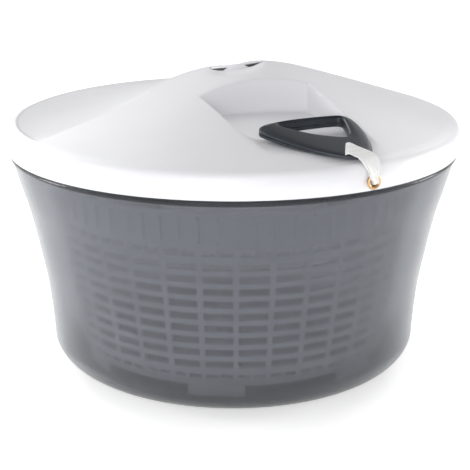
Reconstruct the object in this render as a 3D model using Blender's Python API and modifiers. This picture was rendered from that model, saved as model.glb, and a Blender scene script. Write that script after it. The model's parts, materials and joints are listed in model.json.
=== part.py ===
"""Salad spinner: a clear bowl, a slotted basket and a lid that holds a pull-cord drive.

Millimetres are written as numbers times MM. Z is up, the bowl stands on z = 0 and every turned
piece shares the Z axis. PULL is the direction in plan in which the handle is pulled.
"""
import math

import bmesh
import bpy
import numpy as np
from mathutils import Vector
from mathutils.geometry import delaunay_2d_cdt

MM = 0.001
GAP = 0.3 * MM

# ---- driving sizes -------------------------------------------------------------------------
LID_R = 130 * MM            # widest radius of the lid's side band
LID_TOP_R = 125 * MM        # where the sloping top begins
LID_TOP_Z = 147.6 * MM
CONE_RISE = 37 * MM         # from the edge of the top to the tip of the full cone
CROWN_ROUND = 5.5 * MM
CONE_TIP = Vector((16 * MM, 0.0))
LID_WALL = 2.4 * MM

BOWL_RIM_Z = 131.5 * MM
BOWL_WALL = 2.2 * MM
BOWL_FLOOR_Z = 3.6 * MM

BASKET_FLOOR_Z = 15.5 * MM
BASKET_RIM_Z = 121 * MM
BASKET_COLUMNS = 32
BASKET_ROWS = 4
BASKET_WALL = 1.8 * MM
BASKET_FEET = 6
SLOT_SHARE = 0.84           # of the space between two uprights

PLATE_Z = 127 * MM          # underside of the plate that closes the lid from below
PLATE_THICK = 2.5 * MM
DRUM_CORE_R = 20 * MM       # the cord winds at this radius
DRUM_FLANGE_R = 28 * MM
SPINDLE_R = 4 * MM

CREASE_R = (18, 29, 43, 54, 70)            # millimetres out from the lid's centre
CREASE_TURN = (148, 171, 197, 207, 212.5)  # and the crease's direction there, in degrees
SWIRL = 0.75                 # how much steeper the cone is behind the crease
POCKET_FLOOR_START = 44 * MM
POCKET_FLOOR_Z = 156.1 * MM  # at its back edge, from where it falls gently outwards
POCKET_FALL = 0.08
POCKET_LEFT = 36 * MM        # from the pocket's middle line to its left rim
POCKET_SIDES = 60            # corners of the pocket's outline
LEAST_WALL = 1.2 * MM        # a wall narrower than this in plan has no foot of its own
POCKET_CLEAR = 5 * MM        # no other points this near to the pocket's outline
LID_SIDES = 72               # corners of the lid's edge, and rings of points inside it
LID_RINGS = 17
LID_EDGE_R = 123.5 * MM
POCKET_TURN = math.radians(-64.1)
PULL_TURN = math.radians(-57.2)
EYELET_Z = 137.5 * MM

BUTTON_BACK_Z = 168.5 * MM   # flat underside of the brake button
BUTTON_MIDDLE = 1.5 * MM
BUTTON_HALF = 14.5 * MM
BUTTON_DEPTH = 15 * MM
BUTTON_BOW = 5 * MM          # how far its front edge curves forwards
BUTTON_SLIT = 3 * MM         # the gap left open in front of it
BRAKE_STEM = (1.5 * MM, 7 * MM)

POCKET_OUT = Vector((math.cos(POCKET_TURN), math.sin(POCKET_TURN)))
POCKET_SIDE = Vector((-POCKET_OUT.y, POCKET_OUT.x))
POCKET_MIDDLE = POCKET_OUT * 64 * MM - POCKET_SIDE * 5 * MM
PULL = Vector((math.cos(PULL_TURN), math.sin(PULL_TURN)))


# ---- helpers -------------------------------------------------------------------------------
def clear_scene():
    for item in list(bpy.data.objects):
        bpy.data.objects.remove(item)


def new_collection(name):
    group = bpy.data.collections.new(name)
    bpy.context.scene.collection.children.link(group)
    return group


def finish(name):
    """A plain Principled material by the name of its finish."""
    colour, roughness, metallic = FINISHES[name]
    material = bpy.data.materials.get(name) or bpy.data.materials.new(name)
    material.use_nodes = True
    shader = material.node_tree.nodes["Principled BSDF"]
    shader.inputs["Base Color"].default_value = (*colour, 1.0)
    shader.inputs["Roughness"].default_value = roughness
    shader.inputs["Metallic"].default_value = metallic
    material.diffuse_color = (*colour, 1.0)
    return material


FINISHES = {
    "smoky_bowl": ((0.20, 0.24, 0.29), 0.35, 0.0),
    "white_lid": ((0.86, 0.86, 0.88), 0.35, 0.0),
    "white_basket": ((0.80, 0.81, 0.82), 0.40, 0.0),
    "slate_handle": ((0.035, 0.045, 0.060), 0.45, 0.0),
    "white_cord": ((0.85, 0.84, 0.80), 0.90, 0.0),
    "brass_eyelet": ((0.72, 0.45, 0.22), 0.30, 1.0),
    "steel": ((0.60, 0.61, 0.62), 0.30, 1.0),
    "grey_acetal": ((0.55, 0.57, 0.60), 0.45, 0.0),
    "soft_rubber": ((0.16, 0.18, 0.20), 0.85, 0.0),
}


def add_object(name, data, material, group):
    item = bpy.data.objects.new(name, data)
    data.materials.append(finish(material))
    group.objects.link(item)
    return item


def mesh_from(bm, name, material, group, smooth_below=40):
    """Turn a bmesh into a named object, shaded smooth except at its corners."""
    bmesh.ops.recalc_face_normals(bm, faces=bm.faces)
    mesh = bpy.data.meshes.new(name)
    bm.to_mesh(mesh)
    bm.free()
    mesh.shade_smooth()
    mesh.set_sharp_from_angle(angle=math.radians(smooth_below))
    return add_object(name, mesh, material, group)


def turned(name, profile, material, group, steps=48, closed=False):
    """A turned piece: profile points (radius, z) run up the inside and down the outside."""
    mesh = bpy.data.meshes.new(name)
    points = [(radius, 0.0, z) for radius, z in profile]
    edges = [(i, i + 1) for i in range(len(points) - 1)]
    if closed:
        edges.append((len(points) - 1, 0))
    mesh.from_pydata(points, edges, [])
    item = add_object(name, mesh, material, group)
    screw = item.modifiers.new("turn", "SCREW")
    screw.axis = "Z"
    screw.steps = steps
    screw.render_steps = steps
    screw.use_merge_vertices = True
    screw.merge_threshold = 0.00001
    screw.use_smooth_shade = True
    return item


def ring_profile(inner, outer, low, high):
    return [(inner, low), (inner, high), (outer, high), (outer, low)]


def disc_profile(outer, low, high):
    return [(0.0, high), (outer, high), (outer, low), (0.0, low)]


def cut(item, cutter, tools):
    """Take the cutter's shape out of the item."""
    step = item.modifiers.new("cut", "BOOLEAN")
    step.operation = "DIFFERENCE"
    step.object = cutter
    for group in list(cutter.users_collection):
        group.objects.unlink(cutter)
    tools.objects.link(cutter)
    cutter.hide_render = True
    cutter.display_type = "WIRE"


def join(item, other, tools):
    cut(item, other, tools)
    item.modifiers[-1].operation = "UNION"


def block(name, centre, size, turn, material, group):
    """A box of the given full size, turned about Z."""
    bm = bmesh.new()
    bmesh.ops.create_cube(bm, size=1.0)
    bmesh.ops.scale(bm, vec=size, verts=bm.verts)
    item = mesh_from(bm, name, material, group)
    item.location = centre
    item.rotation_euler.z = turn
    return item


def rod(name, low, high, radius, material, group, sides=20):
    """A round bar between two points."""
    low, high = Vector(low), Vector(high)
    bm = bmesh.new()
    bmesh.ops.create_cone(bm, cap_ends=True, segments=sides, radius1=radius, radius2=radius,
                          depth=(high - low).length)
    item = mesh_from(bm, name, material, group)
    item.location = (low + high) / 2
    item.rotation_mode = "QUATERNION"
    item.rotation_quaternion = (high - low).to_track_quat("Z", "Y")
    return item


def wire(name, points, radius, material, group):
    """A round wire or cord along a list of points."""
    curve = bpy.data.curves.new(name, "CURVE")
    curve.dimensions = "3D"
    curve.bevel_depth = radius
    curve.bevel_resolution = 2
    curve.use_fill_caps = True
    line = curve.splines.new("POLY")
    line.points.add(len(points) - 1)
    for slot, point in zip(line.points, points):
        slot.co = (*point, 1.0)
    return add_object(name, curve, material, group)


def smooth_route(points, per_span):
    """Points on a smooth curve through the given ones (Catmull-Rom)."""
    ends = [points[0] * 2 - points[1]] + points + [points[-1] * 2 - points[-2]]
    route = []
    for a, b, c, d in zip(ends, ends[1:], ends[2:], ends[3:]):
        for i in range(per_span):
            t = i / per_span
            route.append(0.5 * (2 * b + (c - a) * t + (2 * a - 5 * b + 4 * c - d) * t ** 2
                                + (3 * b - a - 3 * c + d) * t ** 3))
    return route + [points[-1]]


# ---- the lid's form ------------------------------------------------------------------------
def smooth_step(low, high, value):
    t = min(max((value - low) / (high - low), 0.0), 1.0)
    return t * t * (3 - 2 * t)


def cone_share(x, y):
    """0 at the edge of the lid's top and 1 at the tip of the off-centre cone."""
    a = CONE_TIP.length_squared - LID_TOP_R ** 2
    b = 2 * LID_TOP_R ** 2 - 2 * (x * CONE_TIP.x + y * CONE_TIP.y)
    c = x * x + y * y - LID_TOP_R ** 2
    return (-b + math.sqrt(max(b * b - 4 * a * c, 0.0))) / (2 * a)


def swirl_power(x, y):
    """The top is a straight cone in front and sinks into a flare behind the crease."""
    crease = np.interp(math.hypot(x, y) / MM, CREASE_R, CREASE_TURN)
    behind = (crease - math.degrees(math.atan2(y, x))) % 360
    sink = (1 - math.exp(-behind / 22)) * (1 - smooth_step(60, 165, behind))
    return 1 + SWIRL * sink


def pocket_floor(x, y):
    """The finger pocket's floor drains outwards."""
    return POCKET_FLOOR_Z - POCKET_FALL * (x * POCKET_OUT.x + y * POCKET_OUT.y - POCKET_FLOOR_START)


def pocket_walls(x, y):
    """How far the pocket's curved back wall or a side wall stands above its floor."""
    out = x * POCKET_OUT.x + y * POCKET_OUT.y
    side = x * POCKET_SIDE.x + y * POCKET_SIDE.y
    back_wall = 2.4 * (38.6 * MM + 0.2 * side + 4.5 * side ** 2 - out)
    right_wall = 4.5 * (side - 24.2 * MM - 0.115 * (out - 43 * MM))
    left_rim = 168.3 * MM - 0.2075 * (out - 34 * MM)
    steep = 6.0 - 5.6 * smooth_step(58 * MM, 86 * MM, out)
    left_wall = left_rim - steep * (side + POCKET_LEFT) - pocket_floor(x, y)
    return max(back_wall, right_wall, left_wall)


def pocket_height(x, y):
    return pocket_floor(x, y) + max(0.0, pocket_walls(x, y))


def cone_height(x, y):
    """Height of the lid's outer surface where the pocket does not cut into it."""
    share = max(cone_share(x, y), 0.0) ** swirl_power(x, y)
    tip = CONE_RISE - math.hypot(CONE_RISE * (1 - share), CROWN_ROUND)
    rise = tip + math.hypot(CONE_RISE, CROWN_ROUND) - CONE_RISE
    return LID_TOP_Z + rise


def lid_height(x, y):
    """Height of the lid's outer surface above the point (x, y)."""
    return min(cone_height(x, y), pocket_height(x, y))


# ---- bowl ----------------------------------------------------------------------------------
def bowl_outside():
    """Outer wall, from the rim down to the base."""
    wall = [(125.6, 123.4), (121.5, 109.5), (117.3, 95), (112.9, 75), (109, 55), (107.0, 38)]
    corner = [(71.4 + 34.4 * math.cos(math.radians(turn)), 22 - 22 * math.sin(math.radians(turn)) + 0.8)
              for turn in range(0, 91, 15)]
    return [(radius * MM, z * MM) for radius, z in wall + corner]


def make_bowl(group):
    outside = bowl_outside()
    inside = [(radius - BOWL_WALL, max(z, BOWL_FLOOR_Z)) for radius, z in outside[:-1]]
    spigot = [(0.0, 33 * MM), (4.5 * MM, 33 * MM), (5 * MM, 32 * MM), (5 * MM, 7 * MM),
              (7 * MM, BOWL_FLOOR_Z)]
    rim = [(124.5 * MM, 127.6 * MM), (125.2 * MM, BOWL_RIM_Z), (128.2 * MM, BOWL_RIM_Z),
           (128.4 * MM, 129.6 * MM), (127.3 * MM, 128.6 * MM)]
    groove = [(69.8 * MM, 0.8 * MM), (69.8 * MM, 2.0 * MM), (61.2 * MM, 2.0 * MM), (61.2 * MM, 0.8 * MM)]
    profile = spigot + inside[::-1] + rim + outside + groove + [(0.0, 0.8 * MM)]
    turned("bowl", profile, "smoky_bowl", group, steps=44)
    turned("foot_ring", ring_profile(61.6 * MM, 69.4 * MM, 0.0, 1.7 * MM), "soft_rubber", group, closed=True)


def basket_rings():
    """The basket's outer surface from its central socket out and up to the rim, in millimetres."""
    floor = BASKET_FLOOR_Z / MM
    rings = [(8.4, 36.2), (8.4, floor), (24, floor), (44, floor), (62, floor), (82, floor),
             (87, floor + 1.5), (89.6, floor + 6), (91.2, 27)]
    bottom, top = Vector((91.2, 27)), Vector((102.8, 99))
    for row in range(BASKET_ROWS):
        rings.append(bottom.lerp(top, (row + 0.78) / BASKET_ROWS)[:])
        rings.append(bottom.lerp(top, (row + 1) / BASKET_ROWS)[:])
    return rings + [(104.4, 110), (105.4, 118.5), (108.5, 118.5), (108.5, BASKET_RIM_Z / MM)]


def make_basket(group, tools):
    turned("pivot_cup", [(0.0, 33.4 * MM), (5.4 * MM, 33.4 * MM), (5.4 * MM, 9 * MM), (11 * MM, 9 * MM),
                         (11 * MM, 11 * MM), (8 * MM, 11 * MM), (8 * MM, 35.7 * MM), (0.0, 35.7 * MM)][::-1],
           "grey_acetal", group, steps=24)
    rings = basket_rings()
    first_row = 8
    sides = 2 * BASKET_COLUMNS
    bm = bmesh.new()
    loops = []
    for radius, z in rings:
        loop = []
        for i in range(sides):
            turn = math.tau * ((i // 2) + (SLOT_SHARE if i % 2 else 0.0)) / BASKET_COLUMNS
            loop.append(bm.verts.new((radius * MM * math.cos(turn), radius * MM * math.sin(turn), z * MM)))
        loops.append(loop)
    for level, (low, high) in enumerate(zip(loops, loops[1:])):
        row = level - first_row
        slotted = row >= 0 and row % 2 == 0 and row < 2 * BASKET_ROWS
        for i in range(sides):
            drain = level in (2, 4) and i % 4 == 0
            if drain or (slotted and i % 2 == 0):
                continue
            j = (i + 1) % sides
            bm.faces.new((low[i], low[j], high[j], high[i]))
    bm.faces.new(loops[0])
    basket = mesh_from(bm, "basket", "white_basket", group)
    shell = basket.modifiers.new("wall", "SOLIDIFY")
    shell.thickness = BASKET_WALL
    shell.offset = -1.0
    for number in range(BASKET_FEET):
        turn = math.radians(-96) + math.tau * number / BASKET_FEET
        radius = 84 * MM
        foot = block(f"foot_{number}", (radius * math.cos(turn), radius * math.sin(turn), 12.4 * MM),
                     (2 * MM, 30 * MM, 8 * MM), turn, "steel", group)
        join(basket, foot, tools)


# ---- lid -----------------------------------------------------------------------------------
def ring_spot(radius, share):
    """A point on a circle about the lid's middle, the given share of a turn round it."""
    return Vector((radius * math.cos(math.tau * share), radius * math.sin(math.tau * share)))


def first_crossing(turn, inside):
    """Where a ray from the pocket's middle leaves the region in which inside(x, y) holds."""
    def spot(reach):
        return POCKET_MIDDLE + Vector((math.cos(turn), math.sin(turn))) * reach

    reach = 0.0
    while inside(*spot(reach + 0.5 * MM)):
        reach += 0.5 * MM
    low, high = reach, reach + 0.5 * MM
    for _ in range(8):
        middle = (low + high) / 2
        low, high = (middle, high) if inside(*spot(middle)) else (low, middle)
    return spot(low)


def pocket_loops():
    """The pocket's rim and the foot of its walls, as loops of points in plan."""
    turns = [math.tau * i / POCKET_SIDES for i in range(POCKET_SIDES)]
    rim = [first_crossing(t, lambda x, y: pocket_height(x, y) < cone_height(x, y)) for t in turns]
    foot = [first_crossing(t, lambda x, y: pocket_walls(x, y) < 0 and pocket_floor(x, y) < cone_height(x, y))
            for t in turns]
    return rim, foot


def lid_spots():
    """Points over the lid's top in plan, and the edges its triangles must keep."""
    rim, foot = pocket_loops()
    spots = [ring_spot(LID_EDGE_R, i / LID_SIDES) for i in range(LID_SIDES)] + rim
    edges = [(i, (i + 1) % LID_SIDES) for i in range(LID_SIDES)]
    edges += [(LID_SIDES + i, LID_SIDES + (i + 1) % len(rim)) for i in range(len(rim))]
    spots += [low for low, high in zip(foot, rim) if (low - high).length > LEAST_WALL]
    kept = spots[LID_SIDES:]
    spots.append(Vector((0, 0)))
    for ring in range(1, LID_RINGS):
        r = LID_EDGE_R * ring / LID_RINGS
        around = max(8, round(math.tau * ring))
        for i in range(around):
            spot = ring_spot(r, (i + ring % 2 / 2) / around)
            if min((spot - other).length for other in kept) > POCKET_CLEAR:
                spots.append(spot)
    return spots, edges


def make_lid_shell(group, tools):
    band = [(126.3, 147.2), (128.6, 145.2), (129.7, 141.5), (130, 138), (129, 132)]
    spots, edges = lid_spots()
    flat, _, faces, origins, _, _ = delaunay_2d_cdt(spots, edges, [], 0, 1e-7)
    bm = bmesh.new()
    top = [bm.verts.new((x, y, lid_height(x, y))) for x, y in flat]
    for face in faces:
        bm.faces.new([top[i] for i in face])
    edge = {source: i for i, sources in enumerate(origins) for source in sources}
    above = [top[edge[i]] for i in range(LID_SIDES)]
    for r, z in band:
        below = [bm.verts.new((*ring_spot(r * MM, i / LID_SIDES), z * MM)) for i in range(LID_SIDES)]
        for i in range(LID_SIDES):
            j = (i + 1) % LID_SIDES
            bm.faces.new((above[j], above[i], below[i], below[j]))
        above = below
    mesh = bpy.data.meshes.new("lid_shell")
    bm.to_mesh(mesh)
    bm.free()
    mesh.shade_smooth()
    lid = add_object("lid_shell", mesh, "white_lid", group)
    shell = lid.modifiers.new("wall", "SOLIDIFY")
    shell.thickness = LID_WALL
    shell.offset = -1.0
    middle = PULL * (LID_R - 1.5 * MM)
    hole = rod("eyelet_hole", (*(middle - PULL * 8 * MM), EYELET_Z), (*(middle + PULL * 8 * MM), EYELET_Z),
               3.2 * MM, "steel", group, sides=16)
    cut(lid, hole, tools)
    opening = button_prism("button_opening", 0.5 * MM, BUTTON_BOW + BUTTON_SLIT, "steel", group,
                           lambda x, y: 190 * MM, 160 * MM)
    cut(lid, opening, tools)


def make_inner_plate(group, tools):
    top = PLATE_Z + PLATE_THICK
    profile = [(8 * MM, PLATE_Z), (8 * MM, top), (117 * MM, top), (120.5 * MM, 131.9 * MM),
               (122.5 * MM, 131.9 * MM), (119 * MM, PLATE_Z)]
    plate = turned("lid_inner_plate", profile, "white_lid", group, steps=48, closed=True)
    leg_hole = rod("leg_hole", (BRAKE_STEM[0], 39 * MM, 120 * MM), (BRAKE_STEM[0], 39 * MM, 135 * MM),
                   7 * MM, "steel", group, sides=16)
    cut(plate, leg_hole, tools)
    for number, turn in enumerate((30, 150, 270), start=1):
        x, y = 100 * MM * math.cos(math.radians(turn)), 100 * MM * math.sin(math.radians(turn))
        hole = rod(f"screw_hole_{number}", (x, y, 120 * MM), (x, y, 135 * MM), 1.9 * MM, "steel", group,
                   sides=12)
        cut(plate, hole, tools)
        screw = turned(f"plate_screw_{number}", [(0.0, 141 * MM), (1.5 * MM, 139.5 * MM),
                                                 (1.5 * MM, PLATE_Z - GAP),
                                                 (3.4 * MM, PLATE_Z - GAP), (3.0 * MM, 125.6 * MM),
                                                 (0.0, 125.2 * MM)], "steel", group, steps=14)
        screw.location = (x, y, 0)


def make_eyelet(group):
    """A rolled brass grommet in the side band, on the line of pull."""
    half = 2.6 * MM
    profile = [(2.4, -half), (2.4, half), (4.1, half), (4.3, half - 0.5 * MM), (4.1, half - 1.0 * MM),
               (2.9, half - 1.0 * MM), (2.9, -half)]
    grommet = turned("cord_eyelet", [(r * MM, z) for r, z in profile], "brass_eyelet", group, steps=20,
                     closed=True)
    grommet.location = (*(PULL * (LID_R - 0.7 * MM)), EYELET_Z)
    grommet.rotation_mode = "QUATERNION"
    grommet.rotation_quaternion = Vector((PULL.x, PULL.y, 0)).to_track_quat("Z", "Y")


# ---- drive ---------------------------------------------------------------------------------
def make_driver(group):
    """The disc that turns the basket, its spindle, bush and ratchet ring."""
    rings = [(4.6, 126.4), (4.6, 122.3), (30, 122.3), (96, 122.3), (99, 122.3), (103.4, 122.3),
             (103.4, 124.8),
             (30, 124.8), (7.4, 124.8), (7.4, 126.4)]
    sides = 48
    bm = bmesh.new()
    loops = [[bm.verts.new((r * MM * math.cos(math.tau * i / sides), r * MM * math.sin(math.tau * i / sides),
                            z * MM)) for i in range(sides)] for r, z in rings]
    lugs = []
    for level in range(len(rings)):
        inner, outer = loops[level], loops[(level + 1) % len(rings)]
        for i in range(sides):
            j = (i + 1) % sides
            face = bm.faces.new((inner[i], inner[j], outer[j], outer[i]))
            if level == 3 and i % 8 == 0:
                lugs.append(face)
    for face in lugs:
        made = bmesh.ops.extrude_discrete_faces(bm, faces=[face])["faces"][0]
        bmesh.ops.translate(bm, vec=(0, 0, -7 * MM), verts=made.verts)
    bmesh.ops.remove_doubles(bm, verts=bm.verts, dist=0.000001)
    mesh_from(bm, "driver_disc", "white_lid", group)
    turned("drive_spindle", [(0.0, 147.6 * MM), (SPINDLE_R, 147.6 * MM), (SPINDLE_R, 121.6 * MM),
                             (7 * MM, 121.6 * MM),
                             (7 * MM, 119.6 * MM), (0.0, 119.6 * MM)], "steel", group, steps=20)
    turned("spindle_bush", [(4.4 * MM, 126.8 * MM), (4.4 * MM, 130.2 * MM), (9.4 * MM, 130.2 * MM),
                            (9.4 * MM, 129.8 * MM), (7.7 * MM, 129.8 * MM), (7.7 * MM, 126.8 * MM)],
           "grey_acetal", group, steps=20, closed=True)
    make_ratchet(group)


def make_ratchet(group):
    """A ring of saw teeth on the spindle that the pawls catch."""
    teeth = 12
    bm = bmesh.new()
    loops = []
    for z in (131.2 * MM, 136.2 * MM):
        outer, inner = [], []
        for i in range(3 * teeth):
            turn = math.tau * i / (3 * teeth)
            radius = (9.6, 8.4, 7.6)[i % 3] * MM
            outer.append(bm.verts.new((radius * math.cos(turn), radius * math.sin(turn), z)))
            inner.append(bm.verts.new((4.3 * MM * math.cos(turn), 4.3 * MM * math.sin(turn), z)))
        loops.append((outer, inner))
    (low_out, low_in), (top_out, top_in) = loops
    count = 3 * teeth
    for i in range(count):
        j = (i + 1) % count
        bm.faces.new((low_out[i], low_out[j], top_out[j], top_out[i]))
        bm.faces.new((low_in[j], low_in[i], top_in[i], top_in[j]))
        bm.faces.new((top_out[i], top_out[j], top_in[j], top_in[i]))
        bm.faces.new((low_out[j], low_out[i], low_in[i], low_in[j]))
    mesh_from(bm, "ratchet_ring", "grey_acetal", group, smooth_below=20)


def make_drum(group, tools):
    core, flange = DRUM_CORE_R - 2 * MM, DRUM_FLANGE_R
    drum = turned("cord_drum", [(4.4 * MM, 138 * MM), (4.4 * MM, 140 * MM), (flange, 140 * MM),
                                (flange, 138.6 * MM),
                                (core, 138.6 * MM), (core, 132.6 * MM), (flange, 132.6 * MM),
                                (flange, 131 * MM),
                                (core - 2.2 * MM, 131 * MM), (core - 2.2 * MM, 138 * MM)],
                  "grey_acetal", group, steps=40, closed=True)
    for number, turn in enumerate((0.0, math.pi), start=1):
        place = Vector((13 * MM * math.cos(turn), 13 * MM * math.sin(turn)))
        hole = rod(f"pin_hole_{number}", (*place, 136 * MM), (*place, 142 * MM), 1.5 * MM, "steel", group,
                   sides=12)
        cut(drum, hole, tools)
        pin = turned(f"pawl_pin_{number}", disc_profile(1.2 * MM, 131.4 * MM, 140.3 * MM), "steel", group,
                     steps=12)
        pin.location = (*place, 0)
        make_pawl(f"pawl_{number}", place, turn, group)
    turned("cord_winding", ring_profile(core + GAP, core + 4.6 * MM, 132.9 * MM, 138.3 * MM),
           "white_cord", group,
           steps=40, closed=True)


def make_pawl(name, place, turn, group):
    """A small lever round its pin, with its nose beside the ratchet's teeth."""
    outline = [(-2.6, -2.4), (2.0, -2.4), (2.6, 0.0), (1.6, 3.4), (-0.6, 6.4), (-2.5, 6.6), (-2.2, 3.0),
               (-2.9, 0.0)]
    sides = 16
    low, high = 131.8 * MM, 135.8 * MM
    bm = bmesh.new()
    hole = [(1.5 * MM * math.cos(math.tau * i / sides), 1.5 * MM * math.sin(math.tau * i / sides))
            for i in range(sides)]
    edge = []
    for i in range(sides):
        turn_out = math.tau * i / sides
        edge.append(Vector(_on_outline(outline, turn_out)) * MM)
    rings = [[bm.verts.new((x, y, z)) for x, y in ring] for z in (low, high) for ring in (edge, hole)]
    low_out, low_in, top_out, top_in = rings
    for i in range(sides):
        j = (i + 1) % sides
        bm.faces.new((low_out[i], low_out[j], top_out[j], top_out[i]))
        bm.faces.new((low_in[j], low_in[i], top_in[i], top_in[j]))
        bm.faces.new((top_out[i], top_out[j], top_in[j], top_in[i]))
        bm.faces.new((low_out[j], low_out[i], low_in[i], low_in[j]))
    pawl = mesh_from(bm, name, "steel", group, smooth_below=30)
    pawl.location = (*place, 0)
    pawl.rotation_euler.z = turn


def _on_outline(outline, turn):
    """The point where a ray from the origin leaves a convex outline."""
    ray = Vector((math.cos(turn), math.sin(turn)))
    best = None
    for (ax, ay), (bx, by) in zip(outline, outline[1:] + outline[:1]):
        edge = Vector((bx - ax, by - ay))
        cross = ray.x * edge.y - ray.y * edge.x
        if abs(cross) < 1e-9:
            continue
        along = (ax * edge.y - ay * edge.x) / cross
        share = (ax * ray.y - ay * ray.x) / cross
        if along > 0 and -1e-6 <= share <= 1 + 1e-6:
            best = along if best is None else max(best, along)
    return ray * best


def make_return_spring(group):
    """A flat strip wound in a spiral above the drum."""
    bm = bmesh.new()
    coils, per_turn = 4.5, 20
    line = []
    for i in range(int(coils * per_turn) + 1):
        turn = math.tau * i / per_turn
        radius = (7.5 + 3.2 * i / per_turn) * MM
        line.append(bm.verts.new((radius * math.cos(turn), radius * math.sin(turn), 141.2 * MM)))
    edges = [bm.edges.new((a, b)) for a, b in zip(line, line[1:])]
    made = bmesh.ops.extrude_edge_only(bm, edges=edges)["geom"]
    raised = [v for v in made if isinstance(v, bmesh.types.BMVert)]
    bmesh.ops.translate(bm, vec=(0, 0, 4.5 * MM), verts=raised)
    mesh = bpy.data.meshes.new("return_spring")
    bm.to_mesh(mesh)
    bm.free()
    spring = add_object("return_spring", mesh, "steel", group)
    strip = spring.modifiers.new("strip", "SOLIDIFY")
    strip.thickness = 0.5 * MM
    strip.offset = 0.0


def make_housing(group, tools):
    """The fixed cap over the drum, with a window for the cord."""
    housing = turned("drum_housing", [(0.0, 148 * MM), (5 * MM, 148 * MM), (5 * MM, 149.4 * MM),
                                      (31 * MM, 149.4 * MM),
                                      (31 * MM, 130.2 * MM), (33 * MM, 130.2 * MM), (33 * MM, 151 * MM),
                                      (0.0, 151 * MM)][::-1], "white_lid", group, steps=40)
    window = block("cord_window", (*(cord_line(0.0) + PULL * 30 * MM), 136 * MM), (16 * MM, 9 * MM, 7.5 * MM),
                   PULL_TURN, "steel", group)
    cut(housing, window, tools)


# ---- brake ---------------------------------------------------------------------------------
def button_outline(grow, bow):
    """A half-moon: a slightly bowed front edge along the crown's ridge and a round back."""
    points = [Vector((BUTTON_MIDDLE + (BUTTON_HALF + grow) * math.cos(t), BUTTON_DEPTH * math.sin(t)
                      + grow * math.sin(t))) for t in [math.pi * i / 18 for i in range(19)]]
    front = [Vector((BUTTON_MIDDLE + share * (BUTTON_HALF + grow), -grow - bow * (1 - share ** 2)))
             for share in (-1, -0.5, 0, 0.5, 1)]
    return points[1:-1] + front


def button_prism(name, grow, bow, material, group, height, low):
    """The button's outline between a flat underside and a top of the given height."""
    outline = button_outline(grow, bow)
    middle = Vector((BUTTON_MIDDLE, BUTTON_DEPTH * 0.4))
    bm = bmesh.new()
    peak = bm.verts.new((*middle, height(*middle)))
    inner = [middle.lerp(p, 0.5) for p in outline]
    rings = [[bm.verts.new((*p, height(*p))) for p in ring] for ring in (inner, outline)]
    rings.append([bm.verts.new((*p, low)) for p in outline])
    for i in range(len(outline)):
        j = (i + 1) % len(outline)
        bm.faces.new((peak, rings[0][i], rings[0][j]))
        for one, two in zip(rings, rings[1:]):
            bm.faces.new((one[j], one[i], two[i], two[j]))
    bm.faces.new(rings[-1])
    return mesh_from(bm, name, material, group)


def make_brake(group, tools):
    """The button's face follows the lid's crown, and its arm carries the pad to the driver disc."""
    flat = BUTTON_BACK_Z
    button_prism("brake_button", 0.0, BUTTON_BOW, "white_lid", group, lid_height, flat)
    x, y = BRAKE_STEM
    plunger = turned("brake_plunger", disc_profile(4 * MM, 160 * MM, flat - GAP), "grey_acetal", group,
                     steps=20)
    plunger.location = (x, y, 0)
    arm = block("brake_arm", (x, (y + 39 * MM) / 2, 161.5 * MM), (8 * MM, 39 * MM - y + 7 * MM, 3 * MM), 0.0,
                "steel", group)
    leg = rod("brake_leg", (x, 39 * MM, 132 * MM), (x, 39 * MM, 162 * MM), 3.4 * MM, "steel", group,
              sides=16)
    join(plunger, arm, tools)
    join(plunger, leg, tools)
    pad = turned("brake_pad", disc_profile(5.5 * MM, 129.4 * MM, 131.7 * MM), "soft_rubber", group, steps=20)
    pad.location = (x, 39 * MM, 0)
    turns, per_turn, coil_r = 3, 14, 5.2 * MM
    coil = [Vector((x + coil_r * math.cos(math.tau * i / per_turn),
                    y + coil_r * math.sin(math.tau * i / per_turn),
                    (152.1 + 7.0 * i / (turns * per_turn)) * MM)) for i in range(turns * per_turn + 1)]
    wire("brake_spring", coil, 0.4 * MM, "steel", group)


# ---- handle and cord -----------------------------------------------------------------------
# The handle's rim and its finger hole: points in plan, in millimetres, anticlockwise from the pointed end.
HANDLE_RIM = ((13.3, -88.5), (15.8, -91.8), (21, -95.8), (30.5, -102.2), (42.5, -108), (54, -111),
              (60.5, -111.4), (66.5, -109.4), (70.4, -104.2), (71.2, -97.5), (70.6, -90), (68.3, -78.5),
              (65.2, -70), (61.6, -64.7), (56.5, -63.3), (50, -65.4), (40.6, -69.3), (29.8, -74.6),
              (21.6, -79.9), (16, -84.4))
HANDLE_HOLE = ((23.5, -83.2), (32, -87.5), (42, -90.1), (52, -90.3), (58.4, -89.3), (60.4, -86.6),
               (60, -79.5), (58.7, -71.5), (57.2, -67.4), (54.3, -66.9), (46, -70.6), (34, -77))
HANDLE_MIDDLE = Vector((48, -80))
HANDLE_SIDES = 28
HANDLE_BROW = -1.2           # how far in the rounded edges of the handle start
HANDLE_FAR = 124 * MM        # along the pocket, where the handle is thinnest
FACE_FAR_Z, FACE_SLOPE = 151.8 * MM, 0.25
BACK_FAR_Z, BACK_SLOPE = 149.3 * MM, 0.165


def closed_curve(spots, per_span=8):
    """Points on a smooth closed curve through the given ones."""
    curve = []
    for i in range(len(spots)):
        a, b, c, d = (Vector(spots[(i + k) % len(spots)]) for k in (-1, 0, 1, 2))
        for k in range(per_span):
            t = k / per_span
            curve.append((b * 2 + (c - a) * t + (a * 2 - b * 5 + c * 4 - d) * t ** 2
                          + (b * 3 - a - c * 3 + d) * t ** 3) / 2)
    return curve


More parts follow.
